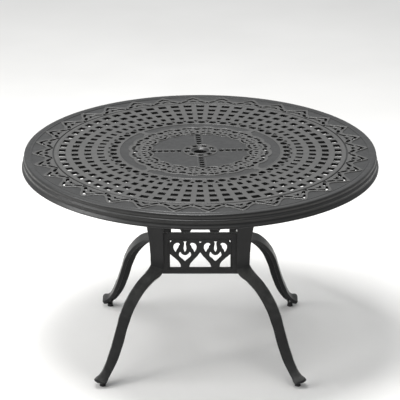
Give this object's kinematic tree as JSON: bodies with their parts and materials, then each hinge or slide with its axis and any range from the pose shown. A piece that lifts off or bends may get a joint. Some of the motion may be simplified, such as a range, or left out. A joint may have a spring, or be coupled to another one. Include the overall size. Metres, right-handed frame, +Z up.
{
  "type": "umbrella table",
  "caption": "Round cast metal patio table with a pierced top, an umbrella hole, four splayed legs, heart-scroll panels and levelling feet.",
  "frame": {"origin": "on the floor, under the middle of the round top", "axes": "+Z up, through the umbrella hole; -Y towards the front, the side nearest the camera in the picture; +X to the right"},
  "size_m": [1.2, 1.2, 0.719],
  "materials": {
    "top_coat": "satin charcoal powder coat on cast aluminium",
    "leg_coat": "satin charcoal powder coat on cast aluminium",
    "plated_steel": "zinc-plated steel",
    "foot_rubber": "matte black moulded rubber"
  },
  "bodies": {
    "table": {"table_top": "top_coat", "leg_back_right": "leg_coat", "leg_back_left": "leg_coat", "leg_front_left": "leg_coat", "leg_front_right": "leg_coat", "panel_right": "leg_coat", "panel_back": "leg_coat", "panel_left": "leg_coat", "panel_front": "leg_coat", "top_bolt_back_right_1": "plated_steel", "washer_back_right_1": "plated_steel", "top_bolt_back_right_2": "plated_steel", "washer_back_right_2": "plated_steel", "top_bolt_back_left_1": "plated_steel", "washer_back_left_1": "plated_steel", "top_bolt_back_left_2": "plated_steel", "washer_back_left_2": "plated_steel", "top_bolt_front_left_1": "plated_steel", "washer_front_left_1": "plated_steel", "top_bolt_front_left_2": "plated_steel", "washer_front_left_2": "plated_steel", "top_bolt_front_right_1": "plated_steel", "washer_front_right_1": "plated_steel", "top_bolt_front_right_2": "plated_steel", "washer_front_right_2": "plated_steel", "panel_bolt_right_1": "plated_steel", "panel_bolt_right_2": "plated_steel", "panel_bolt_right_3": "plated_steel", "panel_bolt_right_4": "plated_steel", "panel_bolt_back_1": "plated_steel", "panel_bolt_back_2": "plated_steel", "panel_bolt_back_3": "plated_steel", "panel_bolt_back_4": "plated_steel", "panel_bolt_left_1": "plated_steel", "panel_bolt_left_2": "plated_steel", "panel_bolt_left_3": "plated_steel", "panel_bolt_left_4": "plated_steel", "panel_bolt_front_1": "plated_steel", "panel_bolt_front_2": "plated_steel", "panel_bolt_front_3": "plated_steel", "panel_bolt_front_4": "plated_steel"},
    "foot_back_right": {"foot_pad_back_right": "foot_rubber", "foot_stud_back_right": "plated_steel"},
    "foot_back_left": {"foot_pad_back_left": "foot_rubber", "foot_stud_back_left": "plated_steel"},
    "foot_front_left": {"foot_pad_front_left": "foot_rubber", "foot_stud_front_left": "plated_steel"},
    "foot_front_right": {"foot_pad_front_right": "foot_rubber", "foot_stud_front_right": "plated_steel"}
  },
  "joints": [
    {"name": "foot_back_right_screw", "type": "slide", "parent": "table", "child": "foot_back_right", "axis": [0, 0, -1], "range_m": [0, 0.01]},
    {"name": "foot_back_left_screw", "type": "slide", "parent": "table", "child": "foot_back_left", "axis": [0, 0, -1], "range_m": [0, 0.01]},
    {"name": "foot_front_left_screw", "type": "slide", "parent": "table", "child": "foot_front_left", "axis": [0, 0, -1], "range_m": [0, 0.01]},
    {"name": "foot_front_right_screw", "type": "slide", "parent": "table", "child": "foot_front_right", "axis": [0, 0, -1], "range_m": [0, 0.01]}
  ]
}
